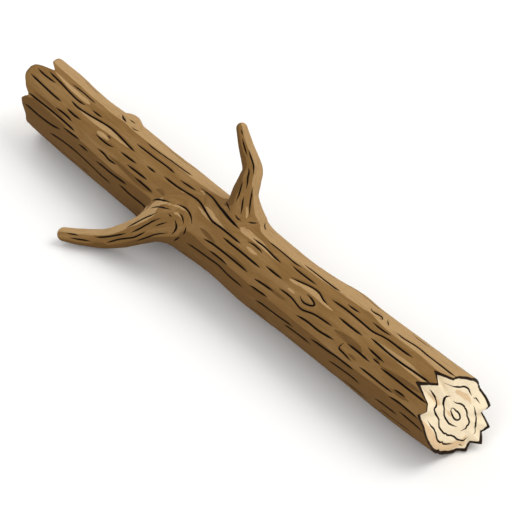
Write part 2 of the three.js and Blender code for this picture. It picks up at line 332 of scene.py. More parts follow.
# Growth rings that show as dark lines on the thick end's break, and its tan streaks. They are percent of
# the radius to the -Y side and up from the pith, and a streak's third number is half its width.
BUTT_RINGS = [
    [(8, 22), (2, 19), (-2, 12), (-7, 6), (-10, -2), (-10, -11), (-5, -14), (1, -12), (6, -5), (9, 5),
     (10, 14), (8, 22)],
    [(4, 50), (12, 53), (18, 56), (22, 48), (25, 31), (29, 19), (29, 7), (25, -4), (19, -16), (10, -24),
     (2, -29)],
    [(0, 38), (-6, 31), (-17, 25), (-24, 17), (-29, 5), (-30, -12), (-32, -26), (-30, -35), (-23, -37),
     (-19, -44),
     (-7, -44)],
    [(41, 72), (38, 62), (37, 53), (43, 44), (55, 41), (56, 34), (52, 24), (47, 12), (46, 2), (48, -12),
     (42, -26),
     (34, -37), (26, -44), (12, -53), (2, -66), (-12, -70), (-25, -70)],
    [(4, 78), (-5, 76), (-17, 70), (-34, 65), (-43, 56), (-48, 43), (-52, 32)],
    [(-58, 25), (-67, 16), (-71, 3)],
    [(-52, 4), (-52, -12), (-57, -26), (-48, -36), (-47, -50), (-42, -61), (-37, -61)],
    [(76, 13), (72, 2), (64, -11), (61, -26), (59, -41), (48, -55), (36, -64), (17, -71)],
    [(0, -79), (-4, -84)],
]
BUTT_TAN = [
    [(-10, 62, 2), (-22, 50, 5), (-38, 35, 6), (-47, 14, 3)],
    [(93, 20, 4), (84, -10, 12), (70, -45, 16), (38, -72, 14), (5, -76, 10), (-18, -64, 5)],
    [(46, 62, 2), (42, 52, 4), (34, 42, 2)],
    [(22, 22, 2), (16, 12, 5), (14, 4, 2)],
]
TIP_RINGS = [
    [(4, 10), (-8, 7), (-10, -6), (3, -11), (10, 0), (4, 10)],
    [(30, 20), (8, 36), (-22, 30), (-36, 4)],
    [(-30, -22), (-6, -36), (24, -30), (36, -6)],
    [(50, 34), (22, 58), (-20, 56), (-46, 38)],
    [(-58, -10), (-42, -44), (-8, -62), (30, -54)],
    [(62, -12), (56, -38), (40, -52)],
]
TIP_TAN = [
    [(20, 74, 4), (-20, 66, 10), (-50, 42, 6)],
    [(70, -20, 6), (50, -56, 12), (10, -74, 10), (-30, -66, 4)],
    [(24, 10, 3), (18, -14, 8), (2, -26, 4)],
]

# The two breaks. A tear is rounded over blur degrees, and its splinters are (height, size, seed).
TIP = SimpleNamespace(
    x=TIP_X, radius=TIP_RADIUS, out=-1, edge_row=0, tilt=0, hollow=5, rough=2.2, mesh_rings=24,
    tear=TIP_TEAR, blur=2.5, splinters=(0.7, 5, 12), rings=TIP_RINGS, tan=TIP_TAN,
)
BUTT = SimpleNamespace(
    x=BUTT_X, radius=BUTT_RADIUS, out=1, edge_row=-1, tilt=14, hollow=0, rough=1, mesh_rings=38,
    tear=BUTT_TEAR, blur=1.4, splinters=(0.5, 4, 11), rings=BUTT_RINGS, tan=BUTT_TAN,
)

# Knots: (x, angle, reach along, reach round, then rings of relief: (rise, how far out, spread), ...).
KNOTS = [
    (-241, -24, 15, 11, (-2.4, 0, 0.45), (1.2, 0.9, 0.3)),
    (164, 33, 17, 9, (1.3, 0, 0.5), (-0.9, 1.0, 0.25)),
    (242, -14, 14, 8, (0.9, 0.8, 0.3), (-1.0, 0, 0.4)),
]

# ---- how fine the meshes are ----

STEM_COLUMNS = 256
FRONT_ANGLES = (-60, 125)  # where the columns are closer together
FRONT_DENSITY = 1.35
ROW_SPACING = [
    (-392, 3.0), (-262, 3.0), (-254, 2.0), (-215, 2.0), (-205, 3.0), (-150, 3.0), (-130, 2.1), (30, 2.1),
    (70, 2.8), (150, 2.8), (158, 2.0), (182, 2.0), (190, 2.8), (222, 2.8), (230, 1.6), (266, 1.6),
    (274, 2.9),
    (394, 2.9),
]
LIMB_COLUMNS = 104
LIMB_STEP = 1.2
LIMB_TIP_RINGS = 9
LIMB_ROOT = 24  # how far inside the stem a limb's mesh starts
ROOT_NARROWING = 0.8

# ---- how deep the bark is cut ----

FURROW_DEPTH = 1.7
FURROW_SPREAD = 1.05
LIP_HEIGHT = 0.3
LIP_PLACE = 3
LIP_SPREAD = 1.4
PLATE_RISE = 0.5  # how much the bark swells between furrows
RELIEF_SINK = 0.55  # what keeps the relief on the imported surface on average
LIMB_RELIEF = 0.65  # how deep a side limb's bark is beside the stem's
COARSE_NOISE = ((130, 38, 38), 1)  # size along and across the grain, seed
FINE_NOISE = [(0.5, (42, 9, 9), 2), (0.28, (18, 4.2, 4.2), 3)]  # height, size, seed
FURROW_WIDTH = 1.25  # half the width of a furrow's dark bottom
WRINKLE_WIDTH = 1.05
RING_WIDTH = 1.15
SHORT_WIDTH = 0.5  # the share of its width that the shortest furrow has
SHORT_LENGTH = 44  # twice the length from which a furrow has its whole width
TAPER = 9  # how far from its end a furrow starts to close
CLOSING = 1.8  # how quickly it gets shallower there
END_OPENING = 0.12  # how open its very end is, before the power END_SHAPE
END_SHAPE = 0.6
BARK_FROM = 0.92  # the share of a break's radius where its bark begins

FURROW_REACH = 9.0  # how far to either side a furrow is looked for
STREAK_REACH = 12.0
FAR = 20.0  # the distance that stands for no furrow at all
GAP_LIMIT = 12.0  # the largest distance to a furrow's edge that is kept
MARK_LIMIT = 6.0  # the largest distance into or out of a streak that is kept

FORK_BLEND = 16  # size of the fillet where a limb leaves the stem
FORK_REACH = 75  # how far from a limb's foot its fork goes
FORK_CAP = 7  # how far the fillet may raise a surface
FORK_SINK = -3
FORK_HALVINGS = 11
FORK_DROP = 2.0  # how far each mesh dips under the other past the seam
FORK_EASE = 3
FORK_HEIGHT = 14  # a limb's mesh dips only this near the stem
FORK_CHANGE = 10  # how far to either side of the seam the bark changes over
STEM_FADE = (9, 14)  # the heights over the stem where its own furrows end
LIMB_FADE = (11, 16)

LANE_JITTER = 0.15  # of the distance between two lanes of scattered furrows
STREAK_PLACES = (-370, 320)
STREAK_LENGTHS = (25, 70)
STREAK_WIDTHS = (1.4, 3.2)
STREAK_DRIFT = 3

FACING = np.array([0.62, -0.48, 0.62])  # where angle 0 of a side limb looks
PER_DEGREE = math.radians(1) * (TIP_RADIUS + BUTT_RADIUS) / 2  # length round the stem


# ---- numbers and noise ----


def smooth_step(low, high, value):
    t = np.clip((value - low) / (high - low), 0, 1)
    return t * t * (3 - 2 * t)


def bell(value, spread):
    return np.exp(-((value / spread) ** 2))


def size_of(vectors):
    return np.linalg.norm(vectors, axis=-1)


def between(value, low, high):
    """How far each value is inside a range, or outside it where the answer is negative."""
    return np.minimum(value - low, high - value)


def wrapped(angle):
    """The same angle from -180 up to 180."""
    return (angle + 180) % 360 - 180


def mixed(a, b, share):
    return a + (b - a) * share


def limited(value):
    return np.clip(value, -MARK_LIMIT, MARK_LIMIT)


def noise(points, cell, seed):
    """Smooth noise from -1 to 1 at each point, whose cells have the given size along each axis."""
    size = 32
    table = np.random.default_rng(seed).uniform(-1, 1, (size, size, size))
    scaled = np.asarray(points, float) / np.asarray(cell, float)
    low = np.floor(scaled).astype(int)
    t = scaled - low
    t = t * t * (3 - 2 * t)
    total = 0
    for corner in np.ndindex(2, 2, 2):
        index = (low + corner) % size
        weight = np.prod(np.where(np.array(corner) == 1, t, 1 - t), axis=-1)
        total = total + weight * table[index[..., 0], index[..., 1], index[..., 2]]
    return total


def curve_through(points, step):
    """Points about a step apart on a smooth curve through the given ones, and each one's place among them."""
    points = np.asarray(points, float)
    padded = np.vstack([2 * points[0] - points[1], points, 2 * points[-1] - points[-2]])
    made, places = [], []
    for i in range(len(points) - 1):
        a, b, c, d = padded[i : i + 4]
        count = max(2, int(np.linalg.norm(c - b) / step) + 1)
        t = np.linspace(0, 1, count, endpoint=i == len(points) - 2)[:, None]
        doubled = 2 * b + (c - a) * t + (2 * a - 5 * b + 4 * c - d) * t**2 + (3 * b - a - 3 * c + d) * t**3
        made.append(0.5 * doubled)
        places.append(i + t[:, 0])
    return np.vstack(made), np.concatenate(places)


# ---- marks on a surface that is laid out flat ----


def to_segments(u, v, line, reach):
    """The points near a line, and for each the line's segments: how far along, and the offset from there."""
    low, high = line[:, :2].min(0) - reach, line[:, :2].max(0) + reach
    spots = np.nonzero((u > low[0]) & (u < high[0]) & (v > low[1]) & (v < high[1]))
    p = np.stack([u[spots], v[spots]], -1)[:, None]
    start, along = line[:-1, :2], np.diff(line[:, :2], axis=0)
    t = np.clip(((p - start) * along).sum(-1) / (along**2).sum(-1), 0, 1)
    return spots, along, t, p - (start + along * t[..., None])


def furrow_field(u, v, furrows):
    """For each point (u, v), the nearest furrow's signed distance, its half width, and how near its edge is.

    A furrow is (its points, half its width). The distance is negative on its right.
    """
    signed = np.full(u.shape, FAR)
    width = np.full(u.shape, 0.3)
    nearest = np.full(u.shape, FAR)
    for line, half_width in furrows:
        spots, along, t, offset = to_segments(u, v, line, FURROW_REACH)
        if not len(spots[0]):
            continue
        distance = size_of(offset)
        pick = distance.argmin(1)
        row = np.arange(len(pick))
        found = distance[row, pick]
        side = np.sign(along[pick, 0] * offset[row, pick, 1] - along[pick, 1] * offset[row, pick, 0])
        run = size_of(along)
        length = run.sum()
        start = np.concatenate([[0], np.cumsum(run)[:-1]])
        place = (start + run * t)[row, pick]
        opened = np.minimum(place, length - place) / min(TAPER, length / 3)
        full_width = half_width * min(1, SHORT_WIDTH + length / SHORT_LENGTH)
        local = full_width * np.clip(opened, END_OPENING, 1) ** END_SHAPE
        gap = found + CLOSING * (half_width - local)
        closer = gap < nearest[spots]
        chosen = tuple(s[closer] for s in spots)
        nearest[chosen] = gap[closer]
        signed[chosen] = (np.where(side == 0, 1, side) * found)[closer]
        width[chosen] = local[closer]
    return signed, width, nearest


def surface_values(signed, width, nearest, **others):
    """The values that the materials draw dark lines from, and the others that they use."""
    line = limited(signed / np.maximum(width, 0.1))
    return {"furrow": line, "gap": np.clip(nearest, 0, GAP_LIMIT), **others}


def streak_field(u, v, streaks):
    """How far inside a streak each point (u, v) is, in mm, or outside where it's negative.

    A streak is points of its middle line, each with half its width there.
    """
    best = np.full(u.shape, -MARK_LIMIT)
    for streak in streaks:
        line = curve_through(streak, 3)[0]
        spots, _, t, offset = to_segments(u, v, line, STREAK_REACH)
        if not len(spots[0]):
            continue
        width = line[:-1, 2] + np.diff(line[:, 2]) * t
        inside = (width - size_of(offset)).max(1)
        best[spots] = np.maximum(best[spots], inside)
    return limited(best)


def all_round(lines):
    """Lines laid out round the stem, repeated a whole turn to either side."""
    shift = np.array([0, 360 * PER_DEGREE, 0])
    return [line + k * shift[: line.shape[1]] for line in lines for k in (-1, 0, 1)]


def carved(nearest):
    """The height that furrows give to the bark round them, from how near the nearest one is."""
    cut = -FURROW_DEPTH * bell(nearest, FURROW_SPREAD)
    lip = LIP_HEIGHT * bell(nearest - LIP_PLACE, LIP_SPREAD)
    return cut + lip + PLATE_RISE * smooth_step(0, 6, nearest)


def scattered_furrows(rng, lanes, spacing, first, last, lengths, gaps, wander):
    """Lengthwise cracks in lanes round a limb: each lane is filled from first to last."""
    made = []
    for lane in lanes:
        x = first + rng.uniform(0, gaps[1])
        while x < last - lengths[0]:
            length = rng.uniform(*lengths)
            angle = lane + rng.uniform(-LANE_JITTER, LANE_JITTER) * spacing
            points = [(x, angle)]
            for place in (x + length / 2, min(x + length, last)):
                points.append((place, angle + rng.uniform(-1, 1) * wander))
            made.append(points)
            x += length + rng.uniform(*gaps)
    return made


def scattered_streaks(rng, count, angles):
    """Teardrop streaks here and there over the stem between two angles."""
    made = []
    for _ in range(count):
        x, angle = rng.uniform(*STREAK_PLACES), rng.uniform(*angles)
        length, width = rng.uniform(*STREAK_LENGTHS), rng.uniform(*STREAK_WIDTHS)
        drifted = angle + rng.uniform(-STREAK_DRIFT, STREAK_DRIFT)
        made.append([
            (x, angle, 0.4),
            (x + length * 0.45, drifted, width * 0.8),
            (x + length * 0.85, drifted, width),
            (x + length, drifted, 0.5),
        ])
    return made


# ---- the stem's plain surface ----


def rounded_outline_at(outline, angle, blur):
    """The x of a torn edge at each angle, with its corners rounded over a few degrees."""
    angles, places = np.array(outline, float).T
    angles, places = np.append(angles, angles[0] + 360), np.append(places, places[0])
    spread = np.linspace(-blur, blur, 9)
    weights = np.cos(spread / blur * math.pi / 2) + 0.05
    total = 0
    for shift, weight in zip(spread, weights):
        total = total + weight * np.interp((angle + shift - angles[0]) % 360 + angles[0], angles, places)
    return total / weights.sum()


def torn_edge(end, angle):
    """Where the bark ends at each angle of a break, with small splinters."""
    height, size, seed = end.splinters
    turn = np.radians(angle)
    ring = np.stack([np.cos(turn) * SPLINTER_RING, np.sin(turn) * SPLINTER_RING, 0 * angle], -1)
    return rounded_outline_at(end.tear, angle, end.blur) + height * noise(ring, size, seed)


def plain_radius(x):
    return TIP_RADIUS + (BUTT_RADIUS - TIP_RADIUS) * (x - TIP_X) / (BUTT_X - TIP_X)


def stem_radius(x, angle):
    radius = plain_radius(x)
    for at, turn, rise, along, round_ in SWELLINGS:
        radius = radius + rise * np.exp(-(((x - at) / along) ** 2) - (wrapped(angle - turn) / round_) ** 2)
    return radius


def stem_middle(x):
    """The middle of the stem at each x."""
    bow = 1 - ((x - BOW_CENTRE_X) / BOW_REACH) ** 2
    return np.stack([x, -BOW * bow, plain_radius(x) + CLEARANCE], -1)


def outward(angle):
    """The direction away from the stem's middle at each angle."""
    a = np.radians(angle)
    return np.stack([0 * a, -np.sin(a), np.cos(a)], -1)


def stem_place(points):
    """Where points are on the stem: the x, the angle, and how far outside its plain surface."""
    x = points[..., 0]
    offset = points - stem_middle(x)
    angle = np.degrees(np.arctan2(-offset[..., 1], offset[..., 2]))
    return x, angle, np.hypot(offset[..., 1], offset[..., 2]) - stem_radius(x, angle)


def rolled(x, angle, radius):
    """The same place on a straight bar along X, which the grain and its noise are read on."""
    a = np.radians(angle)
    return np.stack([x, radius * np.sin(a), radius * np.cos(a)], -1)


# ---- the side limbs' plain surfaces, and the forks ----


def along_frames(line):
    """Two directions across a line at each point, without a twist, and the one along it."""
    tangent = np.gradient(line, axis=0)
    tangent /= size_of(tangent)[:, None]
    across = np.zeros_like(tangent)
    previous = FACING
    for i, t in enumerate(tangent):
        previous = previous - t * (previous @ t)
        previous /= size_of(previous)
        across[i] = previous
    return across, np.cross(tangent, across), tangent


def make_limb(name, seed):
    """A side limb's line and the values at each point, the place where it leaves the stem, and its marks."""
    stations = np.array(LIMBS[name], float)
    line, places = curve_through(stations[:, :3], 1.0)
    radii, radius_places = curve_through(np.stack([np.arange(len(stations)) * 30, stations[:, 3]], -1), 1.0)
    radius = np.interp(places, radius_places, radii[:, 1])
    back = np.arange(LIMB_ROOT, 0, -1.0)[:, None]
    heading = (line[1] - line[0]) / size_of(line[1] - line[0])
    line = np.vstack([line[0] - heading * back, line])
    narrowing = mixed(1, ROOT_NARROWING, back[:, 0] / LIMB_ROOT)
    radius = np.concatenate([radius[0] * narrowing, radius])
    length = np.concatenate([[0], np.cumsum(size_of(np.diff(line, axis=0)))]) - LIMB_ROOT
    leaving = int(np.argmax(stem_place(line)[2] > 0))
    foot_x, foot_angle, _ = stem_place(line[leaving])
    limb = SimpleNamespace(name=name, line=line, radius=radius, length=length, foot=line[leaving])
    limb.frames = along_frames(line)
    limb.reach = FORK_REACH + length[-1] - length[leaving]
    limb.grain = rolled(foot_x, foot_angle, BUTT_RADIUS) + (length[leaving], 0, 0)
    # The limb's painted highlight streaks, laid out flat.
    limb.light = [laid_out(limb, streak) for streak in LIMB_PAINTED_HIGHLIGHTS[name]]
    limb.furrows = limb_furrows(limb, seed)
    return limb


def per_degree(limb, along):
    """The length of a degree round a side limb."""
    return math.radians(1) * np.interp(along, limb.length, limb.radius)


def laid_out(limb, points):
    """Points on a side limb, (distance along, angle, ...), with the angle turned into mm round it."""
    flat = np.array(points, float)
    flat[:, 1] *= per_degree(limb, flat[:, 0])
    return flat


def limb_furrows(limb, seed):
    """A side limb's furrows, laid out flat. The ones on its far side are scattered."""
    hidden = scattered_furrows(
        np.random.default_rng(seed), [-160, -132, -104, 82, 108, 134, 160], spacing=22,
        first=34, last=limb.length[-1] - 6, lengths=(18, 60), gaps=(8, 26), wander=3.5,
    )
    furrows = []
    for furrow in LIMB_FURROWS[limb.name] + hidden:
        path = curve_through(furrow, 2.0)[0]
        furrows += [(laid_out(limb, path + (0, turn)), WRINKLE_WIDTH) for turn in (-360, 0, 360)]
    return furrows


def limb_place(limb, points):
    """Where points are on a side limb: the distance along, the angle, and how far outside the surface."""
    height = np.full(len(points), np.inf)
    nearest = np.zeros(len(points), int)
    chunk = 16
    for start in range(0, len(limb.line), chunk):
        part = slice(start, start + chunk)
        d = size_of(points[:, None] - limb.line[part]) - limb.radius[part]
        pick = d.argmin(1)
        found = d[np.arange(len(points)), pick]
        nearest = np.where(found < height, start + pick, nearest)
        height = np.minimum(height, found)
    offset = points - limb.line[nearest]
    across, other, tangent = (f[nearest] for f in limb.frames)
    along = limb.length[nearest] + (offset * tangent).sum(-1)
    angle = np.degrees(np.arctan2((offset * other).sum(-1), (offset * across).sum(-1)))
    return along, angle, height


def fork_distance(limb, points):
    """How far points are outside the stem and a side limb, joined by a fillet."""
    a, b = stem_place(points)[2], limb_place(limb, points)[2]
    near = np.clip(1 - np.abs(a - b) / FORK_BLEND, 0, 1)
    return np.minimum(a, b) - near**2 * FORK_BLEND / 4


def fork_rise(limb, origin, direction, low):
    """How far along each ray the fork's surface is, from low up, and the way out of it there."""
    low = np.full(len(origin), float(low))
    high = np.full(len(origin), float(FORK_CAP))
    for _ in range(FORK_HALVINGS):
        middle = (low + high) / 2
        inside = fork_distance(limb, origin + direction * middle[:, None]) < 0
        low = np.where(inside, middle, low)
        high = np.where(inside, high, middle)
    at = origin + direction * middle[:, None]
    slope = [fork_distance(limb, at + axis) - fork_distance(limb, at - axis) for axis in np.eye(3) / 2]
    out = np.stack(slope, -1)
    return middle, out / size_of(out)[:, None]


# ---- the bark ----


def stem_marks():
    """The stem's furrows and streaks, laid out flat. The ones on its far side and underside are scattered."""
    rng = np.random.default_rng(7)
    under = scattered_furrows(
        rng, np.arange(111, 306, 9.5), spacing=9.5,
        first=-385, last=380, lengths=(22, 110), gaps=(14, 60), wander=1.3,
    )
    top = scattered_furrows(
        rng, [-46, -36], spacing=8, first=-380, last=370, lengths=(22, 80), gaps=(40, 120), wander=2,
    )
    clear_of_limb_and_knot = [f for f in top if not -80 < f[1][0] < 60 and not -275 < f[1][0] < -205]
    furrows = []
    for group, half_width in (
        (STEM_FURROWS + under + clear_of_limb_and_knot, FURROW_WIDTH),
        (STEM_WRINKLES, WRINKLE_WIDTH),
    ):
        laid = [curve_through(np.array(f, float) * (1, PER_DEGREE), 2.5)[0] for f in group]
        furrows += [(line, half_width) for line in all_round(laid)]
    # The listed light streaks are painted highlights and the listed dark ones partly painted shade; the
    # scattered ones vary the bark's tone at random.
    light = STEM_PAINTED_HIGHLIGHTS + scattered_streaks(rng, 22, (162, 272))
    dark = STEM_DARK_BARK_AND_SHADE + scattered_streaks(rng, 30, (165, 316))
    flat = [all_round([np.array(s, float) * (1, PER_DEGREE, 1) for s in group]) for group in (light, dark)]
    return SimpleNamespace(furrows=furrows, light=flat[0], dark=flat[1])


def painted_stem_bands(x, angle):
    """How far each point of the stem is inside its painted highlight along the top and its painted shade
    along the underside, in mm.
    """
    light_from, dark_from = (np.interp(x, *np.array(edge, float).T) for edge in (PAINTED_HIGHLIGHT_FROM, PAINTED_SHADE_FROM))
    return between(angle, PAINTED_HIGHLIGHT_TO, light_from) * PER_DEGREE, between(angle, dark_from, PAINTED_SHADE_TO) * PER_DEGREE


def painted_limb_bands(limb, along, angle):
    """The same painted highlight and painted shade on a side limb."""
    places, light_from, dark_from = np.array(LIMB_HIGHLIGHT_AND_SHADE[limb.name], float).T
    light = between(angle, np.interp(along, places, light_from), LIMB_HIGHLIGHT_TO)
    dark = between(angle, LIMB_SHADE_TO, np.interp(along, places, dark_from))
    return light * per_degree(limb, along), dark * per_degree(limb, along)


def bark_skin(points):
    """The bark's relief and what it is coloured by, at points of the plain surface.

    The stem's own values turn into a side limb's across the seam of its fork.
    """
    x, angle, height = stem_place(points)
    v = angle * PER_DEGREE
    grain = rolled(x, angle, stem_radius(x, angle))
    wave = 1.3 * noise(grain, (46, 10, 10), 21)
    # light and dark hold the painted highlight along the top and the painted shade along the underside, with
    # the highlight streaks and darker streaks.
    light, dark = (
        np.maximum(band + wave, streak_field(x, v, streaks))
        for band, streaks in zip(painted_stem_bands(x, angle), (STEM_MARKS.light, STEM_MARKS.dark))
    )
    signed, width, nearest = furrow_field(x, v, STEM_MARKS.furrows)
    nearest = nearest + FAR * smooth_step(*STEM_FADE, height)
    on_limb = np.zeros(len(points))
    for limb in FORKS:
        close = np.nonzero(size_of(points - limb.foot) < limb.reach)[0]
        if not len(close):
            continue
        along, turn, limb_height = limb_place(limb, points[close])
        share = smooth_step(-FORK_CHANGE, FORK_CHANGE, height[close] - limb_height)
        limb_radius = np.interp(along, limb.length, limb.radius)
        v = np.radians(turn) * limb_radius
        flat = rolled(-along, turn, limb_radius) + limb.grain
        grain[close] = mixed(grain[close], flat, share[:, None])
        wave = 0.8 * noise(flat, (30, 8, 8), 22)
        # Across the seam the limb's own painted highlight and painted shade bands take over.
        for field, band in zip((light, dark), painted_limb_bands(limb, along, turn)):
            field[close] = mixed(limited(field[close]), limited(band + wave), share)
        light[close] = np.maximum(light[close], streak_field(along, v, limb.light))
        found = furrow_field(along, v, limb.furrows)
        limb_nearest = found[2] + FAR * smooth_step(*LIMB_FADE, limb_height)
        closer = limb_nearest < nearest[close]
        for field, value in zip((signed, width, nearest), (found[0], found[1], limb_nearest)):
            field[close[closer]] = value[closer]
        on_limb[close] = np.maximum(on_limb[close], share)

    relief = carved(nearest) * mixed(1, LIMB_RELIEF, on_limb)
    relief += mixed(0.9, 0.5, on_limb) * noise(grain, *COARSE_NOISE)
    relief += sum(rise * noise(grain, cell, seed) for rise, cell, seed in FINE_NOISE)
    relief += knot_relief(x, angle) * (1 - on_limb) - RELIEF_SINK * mixed(1, LIMB_RELIEF, on_limb)
    return surface_values(
        signed, width, nearest, relief=relief, light=limited(light), dark=limited(dark),
        share=np.ones(len(points)), grain=grain,
    )


def knot_relief(x, angle):
    """The hollows and rims of the knots, on top of their swellings."""
    height = 0 * x
    for at, turn, along, round_, *rings in KNOTS:
        away = np.sqrt(((x - at) / along) ** 2 + (wrapped(angle - turn) / round_) ** 2)
        height += sum(rise * bell(away - place, spread) for rise, place, spread in rings)
    return height


def bark_rings(surface, out, drop, shape):
    """Rings of bark: a plain surface moved out by its relief, and what it is coloured by."""
    skin = bark_skin(surface)
    skin["points"] = surface + out * (skin.pop("relief") - drop)[:, None]
    return {key: value.reshape(*shape, *value.shape[1:]) for key, value in skin.items()}


# ---- the stem ----


def stem_rows():
    """The x of each ring of bark before its ends are torn."""
    x = np.linspace(TIP_X, BUTT_X, 4001)
    spacing = np.interp((x[1:] + x[:-1]) / 2, *np.array(ROW_SPACING, float).T)
    count = np.concatenate([[0], np.cumsum(np.diff(x) / spacing)])
    return np.interp(np.linspace(0, count[-1], round(count[-1]) + 1), count, x)


def stem_angles():
    """The angle of each column, closer together on the front."""
    angle = np.linspace(-180, 180, 3601)
    density = np.where(between(angle, *FRONT_ANGLES) > 0, FRONT_DENSITY, 1)
    count = np.concatenate([[0], np.cumsum(density[:-1])])
    return np.interp(np.linspace(0, count[-1], STEM_COLUMNS, endpoint=False), count, angle)


def stem_bark():
    """The bark's rings, from the thin end's torn edge to the thick end's."""
    angle, plain_x = np.meshgrid(stem_angles(), stem_rows())
    x = plain_x
    for end in (TIP, BUTT):
        pull = np.clip(1 - np.abs(plain_x - end.x) / TEAR_REACH, 0, 1) ** 2
        x = x + (torn_edge(end, angle) - end.x) * pull
    away = outward(angle)
    surface = (stem_middle(x) + away * stem_radius(x, angle)[..., None]).reshape(-1, 3)
    away = away.reshape(-1, 3)
    out, drop = away.copy(), np.zeros(len(surface))
    for limb in FORKS:
        near = np.nonzero(size_of(surface - limb.foot) < FORK_REACH)[0]
        rise, normal = fork_rise(limb, surface[near], away[near], 0)
        surface[near] += away[near] * rise[:, None]
        past = stem_place(surface[near])[2] - limb_place(limb, surface[near])[2]
        out[near] = np.where((rise > 0.02)[:, None], normal, out[near])
        drop[near] += FORK_DROP * smooth_step(0, FORK_EASE, past)
    return {**bark_rings(surface, out, drop, x.shape), "x": x, "angle": angle}


def break_face(bark, end):
    """One torn end: rings from the bark's edge in to the pith, coloured by their growth rings."""
    edge_points, edge_x, edge_angle = (bark[key][end.edge_row] for key in ("points", "x", "angle"))
    angle = edge_angle + np.zeros((end.mesh_rings, 1))
    share = (1 - np.arange(1, end.mesh_rings + 1) / (end.mesh_rings + 0.5))[:, None] + 0 * angle
    lean = end.tilt * np.cos(np.radians(angle - TILT_ANGLE))
    tooth = edge_x - end.x - lean
    x = end.x + lean * share + tooth * share**3 + end.hollow * (1 - share**2)
    points = stem_middle(x) + (edge_points - stem_middle(edge_x)) * share[..., None]

    grain = rolled(x, angle, share * end.radius)
    u, v = grain[..., 1], grain[..., 2]
    rings = [(curve_through(of_radius(end, ring), 1.2)[0], RING_WIDTH) for ring in end.rings]
    signed, width, nearest = furrow_field(u, v, rings)
    relief = end.rough * (0.3 * noise(grain, (400, 2.6, 2.6), 31) + 0.5 * noise(grain, (400, 8, 8), 32))
    relief += end.rough * share**3 * noise(grain, (400, 5, 5), 33)
    relief -= 0.9 * bell(nearest, 0.8)
    relief -= 0.9 * bell((share - BARK_FROM) * end.radius, 0.9)
    points[..., 0] = x + relief * end.out * smooth_step(1.0, 0.97, share)
    light = streak_field(u, v, [of_radius(end, streak) for streak in end.tan])
    return surface_values(
        signed, width, nearest, points=points, light=light, dark=0 * share, share=share, grain=grain
    )


def of_radius(end, points):
    """Points given in percent of a break's radius, in mm."""
    return np.array(points, float) * end.radius / 100


def stem_piece():
    bark = stem_bark()
    tip, butt = break_face(bark, TIP), break_face(bark, BUTT)
    rings = {key: np.concatenate([tip[key][::-1], bark[key], butt[key]]) for key in tip}
    torn = np.ones(len(rings["points"]) - 1, bool)
    torn[TIP.mesh_rings : TIP.mesh_rings + len(bark["points"]) - 1] = False
    return closed_piece("stem", rings, torn)


# ---- the side limbs ----


def limb_piece(limb):
    rows = np.arange(-LIMB_ROOT, limb.length[-1], LIMB_STEP)

    def at_rows(values):
        columns = [np.interp(rows, limb.length, values[:, i]) for i in range(values.shape[1])]
        return np.stack(columns, -1)[:, None]

    middle, radius = at_rows(limb.line), at_rows(limb.radius[:, None])
    across, other, tangent = (at_rows(f) for f in limb.frames)
    turn = np.radians(np.linspace(0, 360, LIMB_COLUMNS, endpoint=False) - 180)[None, :, None]
    away = across * np.cos(turn) + other * np.sin(turn)
    surface = (middle + away * radius).reshape(-1, 3)
    away = away.reshape(-1, 3)
    rise, out = fork_rise(limb, surface, away, FORK_SINK)
    surface = surface + away * rise[:, None]
    stem_height = stem_place(surface)[2]
    past = limb_place(limb, surface)[2] - stem_height
    drop = FORK_DROP * smooth_step(0, FORK_EASE, past) * (stem_height < FORK_HEIGHT)
    rings = bark_rings(surface, out, drop, (len(rows), LIMB_COLUMNS))
    dome = limb_dome(rings, tangent[-1, 0])
    whole = {key: np.concatenate([rings[key], dome[key]]) for key in rings}
    return closed_piece(limb.name.replace("_side_limb", "_limb"), whole)


def limb_dome(rings, tangent):
    """The rounded end of a limb: its last ring, drawn in and forward, without furrows."""
    last = rings["points"][-1]
    centre = last.mean(0)
    reach = size_of(last - centre).mean()
    lift = (math.pi / 2 * np.arange(1, LIMB_TIP_RINGS) / LIMB_TIP_RINGS)[:, None]
    forward = (reach * np.sin(lift))[..., None]
    dome = {key: np.repeat(value[-1:], len(lift), axis=0) for key, value in rings.items()}
    dome["points"] = centre + (last - centre) * np.cos(lift)[..., None] + tangent * forward
    dome["gap"] = dome["gap"] + GAP_LIMIT * np.sin(lift)
    dome["grain"] = dome["grain"] - np.array([1, 0, 0]) * forward
    return dome


# ---- meshes ----


def closed_piece(name, rings, torn=None):
    """A closed mesh through rings of points, with a point at either end. torn marks bands of torn wood."""
    count, columns = rings["points"].shape[:2]
    whole = {}
    for key, value in rings.items():
        body = value.reshape(count * columns, *value.shape[2:])
        first, last = (value[end].mean(0, keepdims=True) for end in (0, -1))
        whole[key] = np.concatenate([first, body, last])

    at = 1 + np.arange(count * columns).reshape(count, columns)
    beside = np.roll(at, -1, axis=1)
    quads = [at[:-1], beside[:-1], beside[1:], at[1:]]
    start_fan = [0 * at[0], beside[0], at[0]]
    end_fan = [0 * at[0] + at.size + 1, at[-1], beside[-1]]
    faces = []
    for corners in (quads, start_fan, end_fan):
        faces += np.stack(corners, -1).reshape(-1, len(corners)).tolist()

    mesh = bpy.data.meshes.new(name)
    mesh.from_pydata((whole["points"] + SHIFT) * MM, [], faces)
    # On the bark, light and dark carry the painted highlight and painted shade; on the torn wood, light
    # carries its tan streaks.
    for key in ("furrow", "gap", "light", "dark", "share"):
        mesh.attributes.new(key, "FLOAT", "POINT").data.foreach_set("value", whole[key].astype(np.float32))
    grain = (whole["grain"] * MM).astype(np.float32).ravel()
    mesh.attributes.new("grain", "FLOAT_VECTOR", "POINT").data.foreach_set("vector", grain)
    mesh.materials.append(BARK)
    if torn is not None:
        mesh.materials.append(TORN_WOOD)
        index = np.concatenate([np.repeat(torn, columns), np.ones(2 * columns, bool)]).astype(np.int32)
        mesh.polygons.foreach_set("material_index", index)
    mesh.shade_smooth()
    return new_object(name, mesh)


